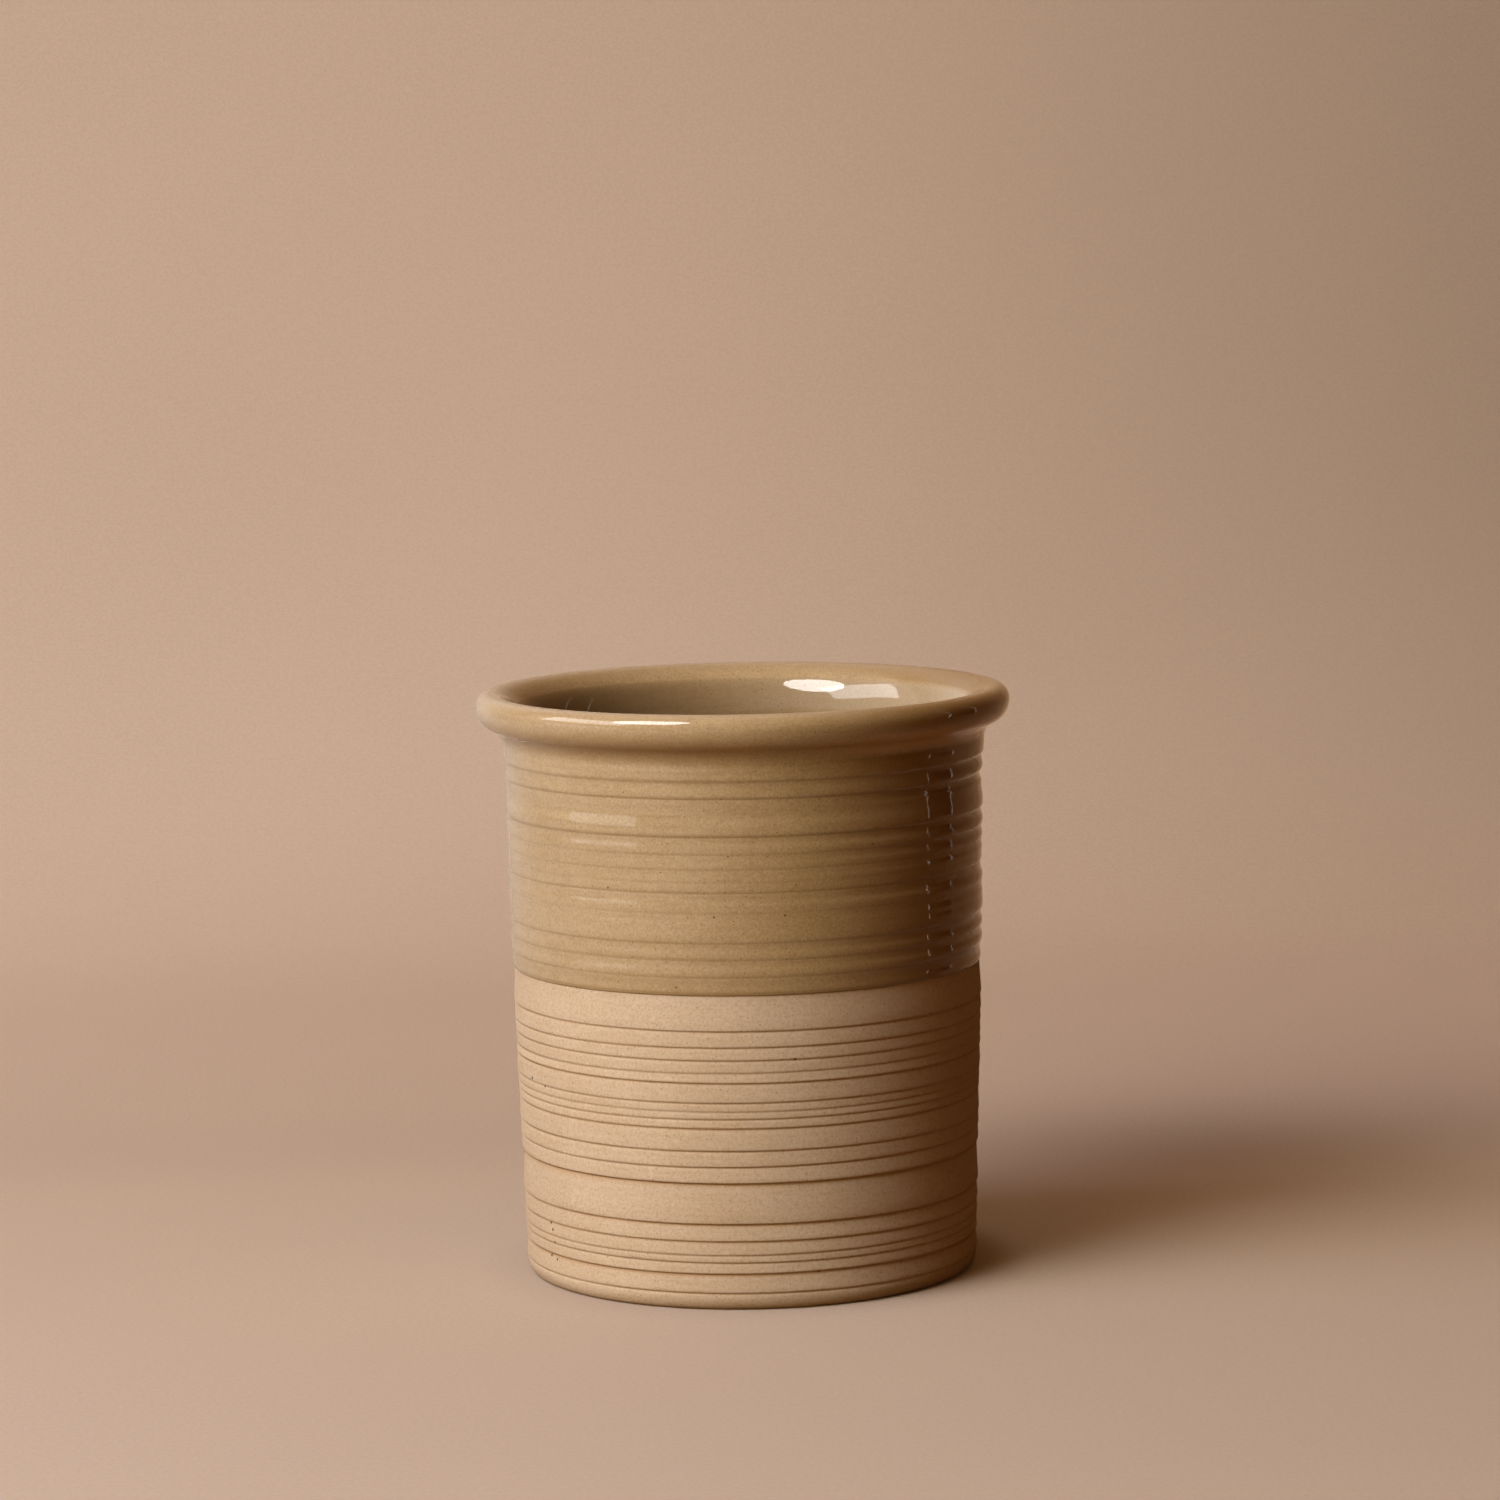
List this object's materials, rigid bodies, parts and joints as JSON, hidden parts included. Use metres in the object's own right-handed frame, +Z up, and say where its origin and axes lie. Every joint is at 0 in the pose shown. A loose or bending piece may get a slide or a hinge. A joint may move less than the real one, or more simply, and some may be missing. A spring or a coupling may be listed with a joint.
{
  "type": "utensil crock",
  "caption": "Open round stoneware crock for utensils: straight ringed wall, rolled rim, glaze inside and over the upper part, bare clay below.",
  "frame": {"origin": "middle of the ring that the crock stands on, at the table", "axes": "+Z up along the axis that the crock was thrown on; the crock is the same all round, so +X and +Y are free"},
  "size_m": [0.1504, 0.1504, 0.165],
  "materials": {
    "bare_stoneware": "unglazed, fine sandy grain, matt",
    "glaze": "glossy, finely mottled, with small iron specks"
  },
  "bodies": {
    "root": {"clay_body": "bare_stoneware", "glaze_coat": "glaze"}
  },
  "joints": []
}
